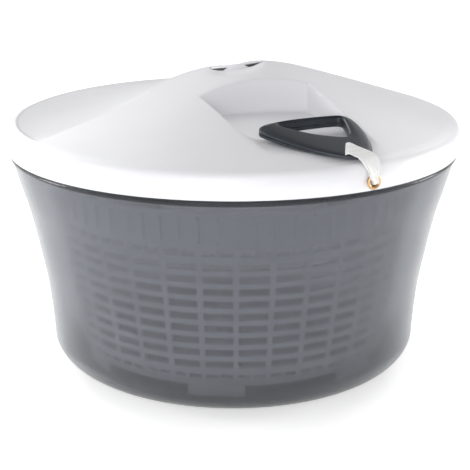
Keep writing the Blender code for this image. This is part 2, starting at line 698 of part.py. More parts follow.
def seen_from_middle(curve, turns):
    """Where rays from the handle's middle at the given angles meet a closed curve."""
    spokes = [spot - HANDLE_MIDDLE for spot in curve]
    angles = np.unwrap([math.atan2(spoke.y, spoke.x) for spoke in spokes])
    angles = np.concatenate((angles - math.tau, angles, angles + math.tau))
    reach = np.interp(turns, angles, [spoke.length for spoke in spokes] * 3)
    return [HANDLE_MIDDLE + Vector((math.cos(t), math.sin(t))) * r for t, r in zip(turns, reach)]


def handle_loops():
    """The rim, the rim's brow and the hole, with their points facing one another, in metres."""
    rim = closed_curve(HANDLE_RIM)
    picked = [rim[len(rim) * i // HANDLE_SIDES] for i in range(HANDLE_SIDES)]
    turns = [math.atan2((spot - HANDLE_MIDDLE).y, (spot - HANDLE_MIDDLE).x) for spot in picked]
    hole = seen_from_middle(closed_curve(HANDLE_HOLE), turns)
    brow = []
    for i, spot in enumerate(picked):
        along = (picked[(i + 1) % HANDLE_SIDES] - picked[i - 1]).normalized()
        brow.append(spot + Vector((along.y, -along.x)) * HANDLE_BROW)
    return [[spot * MM for spot in loop] for loop in (picked, brow, hole)]


def handle_height(x, y, depth):
    """Height inside the handle: depth 0 is its face and depth 1 its back."""
    short = HANDLE_FAR - (x * POCKET_OUT.x + y * POCKET_OUT.y)
    face = FACE_FAR_Z + FACE_SLOPE * short
    back = BACK_FAR_Z + BACK_SLOPE * short
    return face + (back - face) * depth


def handle_ring(name, levels, material, group):
    """A closed ring lofted through pairs of an outline and a depth."""
    bm = bmesh.new()
    loops = [[bm.verts.new((p.x, p.y, handle_height(p.x, p.y, depth))) for p in outline]
             for outline, depth in levels]
    count = len(loops[0])
    for level in range(len(loops)):
        inner, outer = loops[level], loops[(level + 1) % len(loops)]
        for i in range(count):
            j = (i + 1) % count
            bm.faces.new((inner[i], inner[j], outer[j], outer[i]))
    return mesh_from(bm, name, material, group)


def make_handle(group):
    outer, brow, hole = handle_loops()
    handle_ring("handle_top", [(hole, 0.0), (brow, 0.0), (outer, 0.25), (outer, 0.55), (hole, 0.55)],
                "slate_handle", group)
    handle_ring("handle_base", [(hole, 0.72), (outer, 0.72), (outer, 0.9), (brow, 1.0), (hole, 1.0)],
                "slate_handle", group)


def cord_line(along):
    """A point on the straight run of cord from the drum to the eyelet, in plan."""
    side = Vector((-PULL.y, PULL.x))
    start = PULL * 4 * MM - side * DRUM_CORE_R
    end = PULL * (LID_R - 6 * MM)
    return start.lerp(end, along)


# The free cord lies on the handle's face, goes over its nose and drops to the eyelet: plan points in metres.
CORD_ON_FACE = ((0.0575, -0.1010), (0.0630, -0.1055), (0.0668, -0.1088))
CORD_CLEARANCE = 1.3 * MM
CORD_DROP = ((0.0695, -0.1124, 0.1486), (0.0720, -0.1136, 0.1444), (0.0726, -0.1127, 0.1402))


def make_cord(group):
    mouth = PULL * (LID_R + 1.2 * MM)
    route = [Vector((*mouth, EYELET_Z))] + [Vector(spot) for spot in reversed(CORD_DROP)]
    route += [Vector((x, y, handle_height(x, y, 0) + CORD_CLEARANCE)) for x, y in reversed(CORD_ON_FACE)]
    wire("pull_cord", smooth_route(route, 4), 1.0 * MM, "white_cord", group)
    run = [Vector((*cord_line(0.24 + 0.74 * i / 5),
                   136 * MM + (EYELET_Z - 136 * MM) * i / 5)) for i in range(6)]
    wire("cord_run", run, 0.9 * MM, "white_cord", group)


def main():
    clear_scene()
    group = new_collection("salad_spinner")
    tools = new_collection("cutting_tools")
    make_bowl(group)
    make_basket(group, tools)
    make_lid_shell(group, tools)
    make_inner_plate(group, tools)
    make_eyelet(group)
    make_driver(group)
    make_drum(group, tools)
    make_return_spring(group)
    make_housing(group, tools)
    make_brake(group, tools)
    make_handle(group)
    make_cord(group)


main()
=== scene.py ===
"""Salad spinner builder: the finished surfaces of a pull-cord salad spinner.

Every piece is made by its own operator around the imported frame, in metres, with Z up.
The sizes that a user would change are properties in the sidebar panel.
"""
import json
import math

import bmesh
import bpy
import numpy as np
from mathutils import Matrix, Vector, geometry


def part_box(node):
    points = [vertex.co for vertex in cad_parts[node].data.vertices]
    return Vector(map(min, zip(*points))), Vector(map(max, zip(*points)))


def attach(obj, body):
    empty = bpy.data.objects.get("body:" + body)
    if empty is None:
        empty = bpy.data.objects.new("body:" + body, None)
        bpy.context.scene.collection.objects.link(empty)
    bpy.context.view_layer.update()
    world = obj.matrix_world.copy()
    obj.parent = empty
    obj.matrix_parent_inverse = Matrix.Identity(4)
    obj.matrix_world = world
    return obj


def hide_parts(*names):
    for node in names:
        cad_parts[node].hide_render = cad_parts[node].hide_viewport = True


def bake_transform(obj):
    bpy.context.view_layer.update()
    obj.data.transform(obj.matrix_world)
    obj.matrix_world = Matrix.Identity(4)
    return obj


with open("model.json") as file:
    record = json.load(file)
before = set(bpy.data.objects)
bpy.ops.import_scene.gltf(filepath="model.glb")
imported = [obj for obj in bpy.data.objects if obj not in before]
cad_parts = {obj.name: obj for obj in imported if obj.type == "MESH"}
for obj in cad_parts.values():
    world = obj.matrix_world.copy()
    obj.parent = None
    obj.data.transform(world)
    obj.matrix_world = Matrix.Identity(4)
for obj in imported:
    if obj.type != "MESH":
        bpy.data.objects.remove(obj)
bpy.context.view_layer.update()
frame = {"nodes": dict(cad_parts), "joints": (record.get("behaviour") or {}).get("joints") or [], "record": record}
MM = 0.001

bl_info = {
    "name": "Salad Spinner Builder",
    "version": (1, 0, 0),
    "blender": (4, 5, 0),
    "location": "3D View > Sidebar > Spinner",
    "description": "Builds the bowl, basket, lid, handle and cord of a pull-cord salad spinner",
    "category": "Add Mesh",
}

LID_LOW, LID_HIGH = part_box("lid_shell")
BOWL_LOW, BOWL_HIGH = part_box("bowl")
BASKET_LOW, BASKET_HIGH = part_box("basket")
EYELET_LOW, EYELET_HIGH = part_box("cord_eyelet")
PULL_AXIS = Vector(next(j["axis"] for j in frame["joints"] if j["name"] == "handle_pull"))


# ---- sizes and colours that a user would change --------------------------------------------
def length(name, description, default):
    return bpy.props.FloatProperty(name=name, description=description, default=default, unit="LENGTH",
                                   precision=4)


def colour(name, description, default):
    return bpy.props.FloatVectorProperty(name=name, description=description, default=default, subtype="COLOR",
                                         min=0.0, max=1.0)


def number(name, description, default):
    return bpy.props.FloatProperty(name=name, description=description, default=default)


def count(name, description, default):
    return bpy.props.IntProperty(name=name, description=description, default=default)


class SpinnerBowlSettings(bpy.types.PropertyGroup):
    wall: length("Wall", "Thickness of the bowl's wall", 2.2 * MM)
    base_radius: length("Base radius", "Radius of the flat base", 71.4 * MM)
    corner_width: length("Corner width", "How far the base corner reaches outwards", 34.4 * MM)
    corner_height: length("Corner height", "Height of the rounded base corner", 22 * MM)
    smoke: colour("Smoke", "Colour of the tinted plastic", (0.44, 0.452, 0.485))
    sides: count("Sides", "Faces round the bowl", 224)


class SpinnerBasketSettings(bpy.types.PropertyGroup):
    columns: count("Columns", "Uprights round the basket", 32)
    rows: count("Rows", "Rows of wide slots", 9)
    row_pitch: length("Row pitch", "Distance from one row of slots to the next", 7.29 * MM)
    slot_height: length("Slot height", "Height of a wide slot", 4.1 * MM)
    wall: length("Wall", "Thickness of the basket's wall", 1.8 * MM)
    feet: count("Feet", "Feet under the basket", 6)


class SpinnerLidSettings(bpy.types.PropertyGroup):
    cone_rise: length("Cone rise", "Height of the full cone over the lid's edge", 37 * MM)
    crown_round: length("Crown rounding", "Rounding of the cone's tip", 5.5 * MM)
    slit_dip: length("Slit dip", "How far the lid dips in front of the brake button", 2.1 * MM)
    tip_offset: length("Tip offset", "How far the cone's tip stands off the axis", 16 * MM)
    swirl: number("Swirl", "How deeply the lid sinks behind its crease", 0.75)
    wall: length("Wall", "Thickness of the lid's wall", 2.4 * MM)
    white: colour("White", "Colour of the lid", (0.845, 0.845, 0.87))


class SpinnerHandleSettings(bpy.types.PropertyGroup):
    slate: colour("Slate", "Colour of the handle", (0.013, 0.018, 0.026))
    face_far: length("Face height", "Height of the face at its lowest end", 151.8 * MM)
    back_far: length("Back height", "Height of the back at its lowest end", 149.3 * MM)
    cord_width: length("Cord size", "Diameter stated for the flat cord, drawn 3.2 to 14 mm wide", 8 * MM)


class SpinnerStageSettings(bpy.types.PropertyGroup):
    camera_distance: length("Camera distance", "From the spinner's axis to the camera", 0.85)
    camera_height: length("Camera height", "Height of the camera", 0.33)
    camera_pitch: number("Camera pitch", "Degrees that the camera looks down", 16.62)
    lens: number("Lens", "Focal length in millimetres", 115.35)
    side_step: length("Side step", "Camera's distance to the right of the axis", 0.00095)


SETTINGS = {
    "spinner_bowl": SpinnerBowlSettings,
    "spinner_basket": SpinnerBasketSettings,
    "spinner_lid": SpinnerLidSettings,
    "spinner_handle": SpinnerHandleSettings,
    "spinner_stage": SpinnerStageSettings,
}


# ---- mesh helpers --------------------------------------------------------------------------
def piece_from(name, verts, faces, smooth_below=40):
    """A named mesh object, shaded smooth except at corners sharper than the given angle."""
    mesh = bpy.data.meshes.new(name)
    mesh.from_pydata([tuple(v) for v in verts], [], faces)
    mesh.validate()
    piece = bpy.data.objects.new(name, mesh)
    bpy.context.scene.collection.objects.link(piece)
    face_outwards(piece)
    shade(piece, smooth_below)
    return piece


def face_outwards(piece):
    bm = bmesh.new()
    bm.from_mesh(piece.data)
    bmesh.ops.recalc_face_normals(bm, faces=bm.faces)
    bm.to_mesh(piece.data)
    bm.free()


def shade(piece, smooth_below):
    piece.data.shade_smooth()
    piece.data.set_sharp_from_angle(angle=math.radians(smooth_below))


def loft(rings, closed_loft=False):
    """Quads between rings of equal count, as (verts, faces)."""
    count_ = len(rings[0])
    verts = [v for ring in rings for v in ring]
    faces = []
    last = len(rings) if closed_loft else len(rings) - 1
    for level in range(last):
        low, high = level * count_, ((level + 1) % len(rings)) * count_
        for i in range(count_):
            j = (i + 1) % count_
            faces.append((low + i, low + j, high + j, high + i))
    return verts, faces


def in_mm(*rows):
    """Rows of numbers given in millimetres, in metres."""
    return [tuple(value * MM for value in row) for row in rows]


def circle(radius, sides):
    """Points (x, y) evenly round a circle about the axis."""
    return [(radius * math.cos(math.tau * i / sides), radius * math.sin(math.tau * i / sides))
            for i in range(sides)]


def turned(name, profile, sides, smooth_below=35):
    """A closed turned ring from a closed profile of (radius, height)."""
    rings = [[(x, y, z) for x, y in circle(r, sides)] for r, z in profile]
    verts, faces = loft(rings, closed_loft=True)
    return piece_from(name, verts, faces, smooth_below)


def rounded(corners, per_corner=4):
    """A closed outline of (x, y, radius) corners with each corner turned into an arc."""
    points = []
    for i, (x, y, radius) in enumerate(corners):
        here = Vector((x, y))
        back = (Vector(corners[i - 1][:2]) - here).normalized()
        ahead = (Vector(corners[(i + 1) % len(corners)][:2]) - here).normalized()
        if radius <= 0:
            points.append((x, y))
            continue
        half = back.angle(ahead) / 2
        reach = radius / math.tan(half)
        centre = here + (back + ahead).normalized() * radius / math.sin(half)
        first, last = here + back * reach - centre, here + ahead * reach - centre
        sweep = first.angle_signed(last)
        for k in range(per_corner + 1):
            turn = -sweep * k / per_corner
            spot = Vector((first.x * math.cos(turn) - first.y * math.sin(turn),
                           first.x * math.sin(turn) + first.y * math.cos(turn)))
            points.append(tuple(centre + spot))
    return points


def on_span(a, b, c, d, t):
    """A point between b and c on a smooth curve through a, b, c and d (Catmull-Rom)."""
    return 0.5 * (2 * b + (c - a) * t + (2 * a - 5 * b + 4 * c - d) * t ** 2
                  + (3 * b - a - 3 * c + d) * t ** 3)


def smooth_through(points, per_span):
    """Points on a smooth open curve through the given ones."""
    points = [Vector(p) for p in points]
    ends = [points[0] * 2 - points[1]] + points + [points[-1] * 2 - points[-2]]
    route = []
    for span in zip(ends, ends[1:], ends[2:], ends[3:]):
        route += [on_span(*span, i / per_span) for i in range(per_span)]
    return route + [points[-1]]


def solidify(piece, thickness):
    """Add a wall inwards from the surface."""
    step = piece.modifiers.new("wall", "SOLIDIFY")
    step.thickness = thickness
    step.offset = -1.0


def apply_modifiers(piece, smooth_below=35):
    """Keep the evaluated mesh and drop the modifiers."""
    evaluated = piece.evaluated_get(bpy.context.evaluated_depsgraph_get())
    mesh = bpy.data.meshes.new_from_object(evaluated)
    piece.modifiers.clear()
    old = piece.data
    piece.data = mesh
    bpy.data.meshes.remove(old)
    mesh.name = piece.name
    shade(piece, smooth_below)


def dress(piece, body, slot, material, *replaced):
    """Finish a piece: its material, its body and the CAD nodes that it stands for; the slot argument is not used.
    """
    piece.data.materials.clear()
    piece.data.materials.append(material)
    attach(piece, body)
    if replaced:
        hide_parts(*replaced)


# ---- shared shader effects -----------------------------------------------------------------
def new_group(name, inputs, outputs):
    """A shader node group with float inputs {name: default} and float outputs."""
    tree = bpy.data.node_groups.new(name, "ShaderNodeTree")
    for label, default in inputs.items():
        socket = tree.interface.new_socket(name=label, in_out="INPUT", socket_type="NodeSocketFloat")
        socket.default_value = default
    for label in outputs:
        tree.interface.new_socket(name=label, in_out="OUTPUT", socket_type="NodeSocketFloat")
    return tree, tree.nodes.new("NodeGroupInput"), tree.nodes.new("NodeGroupOutput")


def noise(tree, vector, scale, detail=3.0, rough=0.5):
    """A noise texture; scale is a number or a socket."""
    node = tree.nodes.new("ShaderNodeTexNoise")
    node.inputs["Detail"].default_value = detail
    node.inputs["Roughness"].default_value = rough
    tree.links.new(vector, node.inputs["Vector"])
    if isinstance(scale, (int, float)):
        node.inputs["Scale"].default_value = scale
    else:
        tree.links.new(scale, node.inputs["Scale"])
    return node.outputs["Fac"]


def spread(tree, value, low, high, to_low, to_high, smooth=False):
    """Map a value's range onto another; each end is a number or a socket."""
    node = tree.nodes.new("ShaderNodeMapRange")
    node.clamp = True
    if smooth:
        node.interpolation_type = "SMOOTHSTEP"
    tree.links.new(value, node.inputs["Value"])
    for label, end in (("From Min", low), ("From Max", high), ("To Min", to_low), ("To Max", to_high)):
        if isinstance(end, (int, float)):
            node.inputs[label].default_value = end
        else:
            tree.links.new(end, node.inputs[label])
    return node.outputs["Result"]


def maths(tree, operation, a, b):
    node = tree.nodes.new("ShaderNodeMath")
    node.operation = operation
    for socket, value in zip(node.inputs, (a, b)):
        if isinstance(value, (int, float)):
            socket.default_value = value
        else:
            tree.links.new(value, socket)
    return node.outputs[0]


def object_place(tree):
    return tree.nodes.new("ShaderNodeTexCoord").outputs["Object"]


def build_moulded_grain():
    """Fine pebbling of a moulded surface and the slow sheen changes over it."""
    inputs = {"Grain Scale": 2600.0, "Sheen Scale": 22.0, "Roughness": 0.35, "Roughness Change": 0.08}
    tree, given, put = new_group("moulded_grain", inputs, ("Height", "Roughness", "Cloud"))
    place = object_place(tree)
    grain = noise(tree, place, given.outputs["Grain Scale"], 2.0)
    cloud = noise(tree, place, given.outputs["Sheen Scale"], 4.0, 0.55)
    low = maths(tree, "SUBTRACT", given.outputs["Roughness"], given.outputs["Roughness Change"])
    high = maths(tree, "ADD", given.outputs["Roughness"], given.outputs["Roughness Change"])
    tree.links.new(grain, put.inputs["Height"])
    tree.links.new(spread(tree, cloud, 0.3, 0.7, low, high), put.inputs["Roughness"])
    tree.links.new(cloud, put.inputs["Cloud"])


def build_edge_wear():
    """A mask of the outer edges that hands rub, broken up by noise."""
    tree, given, put = new_group("edge_wear", {"Start": 0.52, "End": 0.60, "Break Up": 160.0}, ("Mask",))
    shape = tree.nodes.new("ShaderNodeNewGeometry")
    edge = spread(tree, shape.outputs["Pointiness"], given.outputs["Start"], given.outputs["End"], 0.0, 1.0)
    patches = noise(tree, object_place(tree), given.outputs["Break Up"], 3.0)
    tree.links.new(maths(tree, "MULTIPLY", edge, patches), put.inputs["Mask"])


def build_fine_scratches():
    """Hairline scuffs from stacking and washing, mostly round the axis."""
    tree, given, put = new_group("fine_scratches", {"Scale": 60.0, "Amount": 0.5}, ("Mask",))
    place = tree.nodes.new("ShaderNodeMapping")
    place.inputs["Scale"].default_value = (1.0, 1.0, 14.0)
    tree.links.new(object_place(tree), place.inputs["Vector"])
    lines = noise(tree, place.outputs["Vector"], given.outputs["Scale"], 6.0, 0.7)
    mask = spread(tree, lines, 0.60, 0.72, 0.0, 1.0)
    tree.links.new(maths(tree, "MULTIPLY", mask, given.outputs["Amount"]), put.inputs["Mask"])


def build_weave():
    """Crossing yarns of a flat woven cord."""
    tree, given, put = new_group("weave", {"Yarns": 1500.0}, ("Height", "Shadow"))
    place = object_place(tree)
    bands = []
    for turn in (math.radians(45), math.radians(-45)):
        rotate = tree.nodes.new("ShaderNodeMapping")
        rotate.inputs["Rotation"].default_value = (0.0, turn, PULL_AXIS.to_2d().angle_signed(Vector((1, 0))))
        tree.links.new(place, rotate.inputs["Vector"])
        wave = tree.nodes.new("ShaderNodeTexWave")
        wave.inputs["Distortion"].default_value = 0.6
        tree.links.new(rotate.outputs["Vector"], wave.inputs["Vector"])
        tree.links.new(maths(tree, "MULTIPLY", given.outputs["Yarns"], 0.25), wave.inputs["Scale"])
        bands.append(wave.outputs["Fac"])
    over = maths(tree, "MAXIMUM", bands[0], bands[1])
    fuzz = noise(tree, place, 2500.0, 2.0)
    tree.links.new(maths(tree, "ADD", over, maths(tree, "MULTIPLY", fuzz, 0.3)), put.inputs["Height"])
    tree.links.new(spread(tree, over, 0.2, 0.9, 1.0, 0.0), put.inputs["Shadow"])


def use_group(material, name, **values):
    node = material.node_tree.nodes.new("ShaderNodeGroup")
    node.node_tree = bpy.data.node_groups[name]
    for label, value in values.items():
        node.inputs[label.replace("_", " ").title()].default_value = value
    return node


def mix_colour(tree, mask, first, second):
    """Base colour that goes from the first to the second where the mask is 1."""
    node = tree.nodes.new("ShaderNodeMix")
    node.data_type = "RGBA"
    tree.links.new(mask, node.inputs["Factor"])
    for socket, value in ((node.inputs[6], first), (node.inputs[7], second)):
        if isinstance(value, bpy.types.NodeSocket):
            tree.links.new(value, socket)
        else:
            socket.default_value = (*value, 1.0)
    return node.outputs[2]


def bump(tree, height, shader, distance):
    node = tree.nodes.new("ShaderNodeBump")
    node.inputs["Distance"].default_value = distance
    tree.links.new(height, node.inputs["Height"])
    tree.links.new(node.outputs["Normal"], shader.inputs["Normal"])


def new_material(name, metallic=0.0, specular=0.5):
    material = bpy.data.materials.new(name)
    material.use_nodes = True
    shader = material.node_tree.nodes["Principled BSDF"]
    shader.inputs["Metallic"].default_value = metallic
    shader.inputs["Specular IOR Level"].default_value = specular
    return material, material.node_tree, shader


def scaled(tint, share):
    return tuple(part * share for part in tint)


def scuffed(tree, skin, marks, shader, amount):
    """Roughness from the moulded skin, raised along the scuffs."""
    raised = maths(tree, "MULTIPLY", marks.outputs["Mask"], amount)
    tree.links.new(maths(tree, "ADD", skin.outputs["Roughness"], raised), shader.inputs["Roughness"])


def moulded(name, base, worn, roughness, change=0.07, grain=2600.0, depth=0.02 * MM, subsurface=0.0):
    """A moulded plastic with fine grain, slow sheen changes, paler worn edges and light scuffs."""
    material, tree, shader = new_material(name)
    skin = use_group(material, "moulded_grain", grain_scale=grain, roughness=roughness,
                     roughness_change=change)
    wear = use_group(material, "edge_wear")
    marks = use_group(material, "fine_scratches", amount=0.3)
    cloudy = mix_colour(tree, skin.outputs["Cloud"], base, scaled(base, 0.955))
    tree.links.new(mix_colour(tree, wear.outputs["Mask"], cloudy, worn), shader.inputs["Base Color"])
    scuffed(tree, skin, marks, shader, 0.12)
    bump(tree, skin.outputs["Height"], shader, depth)
    if subsurface:
        shader.inputs["Subsurface Weight"].default_value = subsurface
        shader.inputs["Subsurface Radius"].default_value = (1.0, 1.0, 1.0)
        shader.inputs["Subsurface Scale"].default_value = 1.5 * MM
    return material


def smoky_plastic(settings):
    """Frosted tinted plastic: it blurs what stands behind it; its colour is darkened at the foot as painted shade
    and along the rim as the lid's painted shadow, which the rolled rim's thicker plastic explains only in part.
    """
    material, tree, shader = new_material("smoky_plastic", specular=0.6)
    skin = use_group(material, "moulded_grain", grain_scale=1800.0, sheen_scale=14.0, roughness=0.20,
                     roughness_change=0.03)
    marks = use_group(material, "fine_scratches", scale=45.0, amount=0.35)
    height = tree.nodes.new("ShaderNodeSeparateXYZ")
    tree.links.new(object_place(tree), height.inputs["Vector"])
    z = height.outputs["Z"]
    # Painted shade: the colour goes darker towards the foot, and along the top of the rim as a painted shadow of
    # the lid; only at the rim is part of it the thicker plastic.
    foot = spread(tree, z, 8 * MM, 20 * MM, 1.0, 0.0, smooth=True)
    rim = spread(tree, z, BOWL_HIGH.z - 3.6 * MM, BOWL_HIGH.z - 2.4 * MM, 0.0, 1.0, smooth=True)
    thick = maths(tree, "MAXIMUM", foot, rim)
    smoke = tuple(settings.smoke)
    cloudy = mix_colour(tree, skin.outputs["Cloud"], smoke, scaled(smoke, 0.94))
    tree.links.new(mix_colour(tree, thick, cloudy, scaled(smoke, 0.30)), shader.inputs["Base Color"])
    shader.inputs["Transmission Weight"].default_value = 0.88
    shader.inputs["IOR"].default_value = 1.25
    scuffed(tree, skin, marks, shader, 0.10)
    bump(tree, skin.outputs["Height"], shader, 0.02 * MM)
    return material


def woven_cord():
    material, tree, shader = new_material("woven_cord", specular=0.25)
    yarns = use_group(material, "weave")
    tree.links.new(mix_colour(tree, yarns.outputs["Shadow"], (0.90, 0.90, 0.90), (0.74, 0.73, 0.71)),
                   shader.inputs["Base Color"])
    shader.inputs["Roughness"].default_value = 0.9
    shader.inputs["Sheen Weight"].default_value = 0.3
    bump(tree, yarns.outputs["Height"], shader, 0.15 * MM)
    return material


def bright_metal(name, base, roughness):
    """Bare metal with fine turning lines and slight tarnish."""
    material, tree, shader = new_material(name, metallic=1.0)
    place = tree.nodes.new("ShaderNodeMapping")
    place.inputs["Scale"].default_value = (1.0, 1.0, 40.0)
    tree.links.new(object_place(tree), place.inputs["Vector"])
    lines = noise(tree, place.outputs["Vector"], 120.0, 4.0, 0.6)
    tarnish = noise(tree, object_place(tree), 260.0, 3.0)
    tree.links.new(mix_colour(tree, tarnish, base, scaled(base, 0.72)), shader.inputs["Base Color"])
    rough = spread(tree, lines, 0.3, 0.7, roughness * 0.7, roughness * 1.4)
    tree.links.new(rough, shader.inputs["Roughness"])
    bump(tree, lines, shader, 0.02 * MM)
    return material


# ---- lid form ------------------------------------------------------------------------------
TOP_RADIUS = 125 * MM
TOP_EDGE_R, TOP_EDGE_Z = 123.4 * MM, 147.6 * MM
EDGE_CLEARANCE = 1.2 * MM  # no grid points this near to the top's edge
POCKET_TURN = math.radians(-64.1)
POCKET_OUT = np.array((math.cos(POCKET_TURN), math.sin(POCKET_TURN)))
POCKET_SIDE = np.array((-POCKET_OUT[1], POCKET_OUT[0]))
BUTTON_MIDDLE, BUTTON_HALF, BUTTON_DEPTH = 1.5 * MM, 14.5 * MM, 15 * MM
BUTTON_BOW = 5 * MM  # how far the button's front edge curves forwards
OPENING_GAP, OPENING_FRONT = 0.45 * MM, 3.4 * MM  # the opening beyond the button, all round and in front
OPENING_REACH = 20 * MM  # triangles further than this from the button's middle or back aren't tested
OPENING_CUT_FROM = -5 * MM  # the opening isn't cut in front of this, though its outline runs on to -8.85 mm
CREASE_R = (18, 29, 43, 54, 70)  # millimetres out from the axis ...
CREASE_TURN = (148, 171, 197, 207, 212.5)  # ... and the crease's direction there, in degrees


def smooth_step(low, high, value):
    t = np.clip((value - low) / (high - low), 0.0, 1.0)
    return t * t * (3 - 2 * t)


def cone_share(x, y, tip):
    """0 at the edge of the lid's top and 1 at the tip of the off-centre cone."""
    a = tip ** 2 - TOP_RADIUS ** 2
    b = 2 * TOP_RADIUS ** 2 - 2 * x * tip
    c = x * x + y * y - TOP_RADIUS ** 2
    return np.clip((-b + np.sqrt(np.maximum(b * b - 4 * a * c, 0.0))) / (2 * a), 0.0, 1.0)


def swirl_power(x, y, swirl):
    """The top is a straight cone in front and sinks into a flare behind the crease."""
    crease = np.interp(np.hypot(x, y) / MM, CREASE_R, CREASE_TURN)
    behind = (crease - np.degrees(np.arctan2(y, x))) % 360
    return 1 + swirl * (1 - np.exp(-behind / 22)) * (1 - smooth_step(60, 165, behind))


def soft_positive(value, radius):
    return 0.5 * (value + np.sqrt(value * value + radius * radius))


def soft_max(a, b, radius):
    return b + soft_positive(a - b, radius)


def pocket_height(x, y):
    """The finger pocket: a curved back wall, two side walls and a floor that drains outwards."""
    out = (x * POCKET_OUT[0] + y * POCKET_OUT[1]) / MM
    side = (x * POCKET_SIDE[0] + y * POCKET_SIDE[1]) / MM
    back_wall = 2.4 * soft_positive(38.6 + 0.2 * side + 0.0045 * side ** 2 - out, 1.0)
    right_wall = 4.5 * soft_positive(side - 23 - 0.115 * (out - 43), 0.8)
    floor = 156.1 - 0.08 * (out - 44)
    steep = 6.0 - 5.6 * smooth_step(58, 86, out)
    left_wall = soft_positive(168.3 - 0.2075 * (out - 34) - steep * (side + 36) - floor, 0.8)
    return (floor + soft_max(back_wall, soft_max(left_wall, right_wall, 0.8), 0.8)) * MM


def lid_height(x, y, lid):
    """Height of the lid's outer surface above the points (x, y)."""
    share = cone_share(x, y, lid.tip_offset) ** swirl_power(x, y, lid.swirl)
    rise = lid.cone_rise - np.hypot(lid.cone_rise * (1 - share), lid.crown_round)
    rise = TOP_EDGE_Z + rise + math.hypot(lid.cone_rise, lid.crown_round) - lid.cone_rise
    across = (x - BUTTON_MIDDLE) / BUTTON_HALF
    ahead = -y - BUTTON_BOW * (1 - across ** 2)
    dip = smooth_step(0.2 * MM, 1.5 * MM, ahead) * (1 - smooth_step(5 * MM, 20 * MM, ahead))
    rise = rise - lid.slit_dip * dip * (1 - smooth_step(0.3, 1.3, np.abs(across)))
    scoop = pocket_height(x, y)
    return scoop - soft_positive(scoop - rise, 0.8 * MM)


def button_outline(grow, gape):
    """The brake button's half-moon; gape bows its front edge forwards."""
    per_side = 40
    back = [(BUTTON_MIDDLE + (BUTTON_HALF + grow) * math.cos(t), (BUTTON_DEPTH + grow) * math.sin(t))
            for t in [math.pi * i / per_side for i in range(1, per_side)]]
    front = [(BUTTON_MIDDLE + s * (BUTTON_HALF + grow), -grow - gape * (1 - s * s))
             for s in [-1 + 2 * i / (per_side - 4) for i in range(per_side - 3)]]
    return back + front


# ---- pieces --------------------------------------------------------------------------------
class SPINNER_OT_materials(bpy.types.Operator):
    """Make the shared effects and every finish"""
    bl_idname = "spinner.materials"
    bl_label = "Materials"

    def execute(self, context):
        scene = context.scene
        build_moulded_grain()
        build_edge_wear()
        build_fine_scratches()
        build_weave()
        white = tuple(scene.spinner_lid.white)
        moulded("lid_white", white, (0.92, 0.92, 0.93), 0.36, subsurface=0.06)
        moulded("basket_white", (0.80, 0.81, 0.83), (0.90, 0.91, 0.92), 0.42, subsurface=0.08)
        slate = tuple(scene.spinner_handle.slate)
        moulded("slate_soft_touch", slate, (0.075, 0.088, 0.105), 0.42, 0.06, 3200.0, 0.03 * MM)
        moulded("grey_bearing_plastic", (0.50, 0.52, 0.55), (0.62, 0.64, 0.66), 0.40)
        moulded("non_slip_rubber", (0.05, 0.055, 0.065), (0.10, 0.11, 0.12), 0.80, grain=1500.0,
                depth=0.06 * MM)
        smoky_plastic(scene.spinner_bowl)
        woven_cord()
        bright_metal("rolled_brass", (0.78, 0.50, 0.26), 0.28)
        bright_metal("bright_steel", (0.62, 0.62, 0.63), 0.30)
        return {"FINISHED"}


def finish_of(name):
    return bpy.data.materials[name]


class SPINNER_OT_bowl(bpy.types.Operator):
    """Turn the tinted bowl with its flared wall, rolled rim and central spigot"""
    bl_idname = "spinner.bowl"
    bl_label = "Bowl"

    def execute(self, context):
        bowl = context.scene.spinner_bowl
        outside = self.outside(bowl)
        inside = self.inset(outside, bowl.wall)
        rim_z = BOWL_HIGH.z
        rim = rounded([(124.6 * MM, 126.6 * MM, 0), (125.0 * MM, rim_z, 0.7 * MM),
                       (128.3 * MM, rim_z, 1.1 * MM), (128.3 * MM, rim_z - 2.3 * MM, 1.0 * MM),
                       (126.9 * MM, rim_z - 3.0 * MM, 0.8 * MM), (126.4 * MM, 126.6 * MM, 0)])
        floor_z = 3.6 * MM
        spigot = rounded([(0.05 * MM, 33 * MM, 0), (5 * MM, 33 * MM, 1.2 * MM), (5 * MM, floor_z + 2 * MM, 0),
                          (8 * MM, floor_z, 1.5 * MM), (60 * MM, floor_z, 0)])
        groove = in_mm((69.8, 0.8), (69.8, 2.0), (61.2, 2.0), (61.2, 0.8), (0.05, 0.8))
        profile = spigot + inside[::-1] + rim[1:-1] + outside + groove
        piece = turned("bowl_body", profile, bowl.sides)
        dress(piece, "bowl", "smoky_bowl", finish_of("smoky_plastic"), "bowl")
        return {"FINISHED"}

    def outside(self, bowl):
        """The outer wall from under the rim down to the flat base."""
        wall = smooth_through([(126.6, 0, 127.2), (125.0, 0, 121.5), (121.5, 0, 109.5), (117.3, 0, 95),
                               (112.9, 0, 75), (109, 0, 55), (107.0, 0, 38), (105.9, 0, 25)], 6)
        points = [(p.x * MM, p.z * MM) for p in wall]
        for i in range(1, 19):
            turn = math.radians(90 * i / 18)
            points.append((bowl.base_radius + bowl.corner_width * math.cos(turn),
                           bowl.corner_height * (1 - math.sin(turn)) + 0.8 * MM))
        return points

    def inset(self, outside, wall):
        """The same wall moved inwards by its thickness, stopped at the inner floor."""
        inner = []
        for i, (x, z) in enumerate(outside):
            ahead, back = outside[min(i + 1, len(outside) - 1)], outside[max(i - 1, 0)]
            along = Vector((ahead[0] - back[0], ahead[1] - back[1])).normalized()
            inner.append((x + along.y * wall, max(z - along.x * wall, 3.6 * MM)))
        return [p for p in inner if p[0] > 62 * MM]


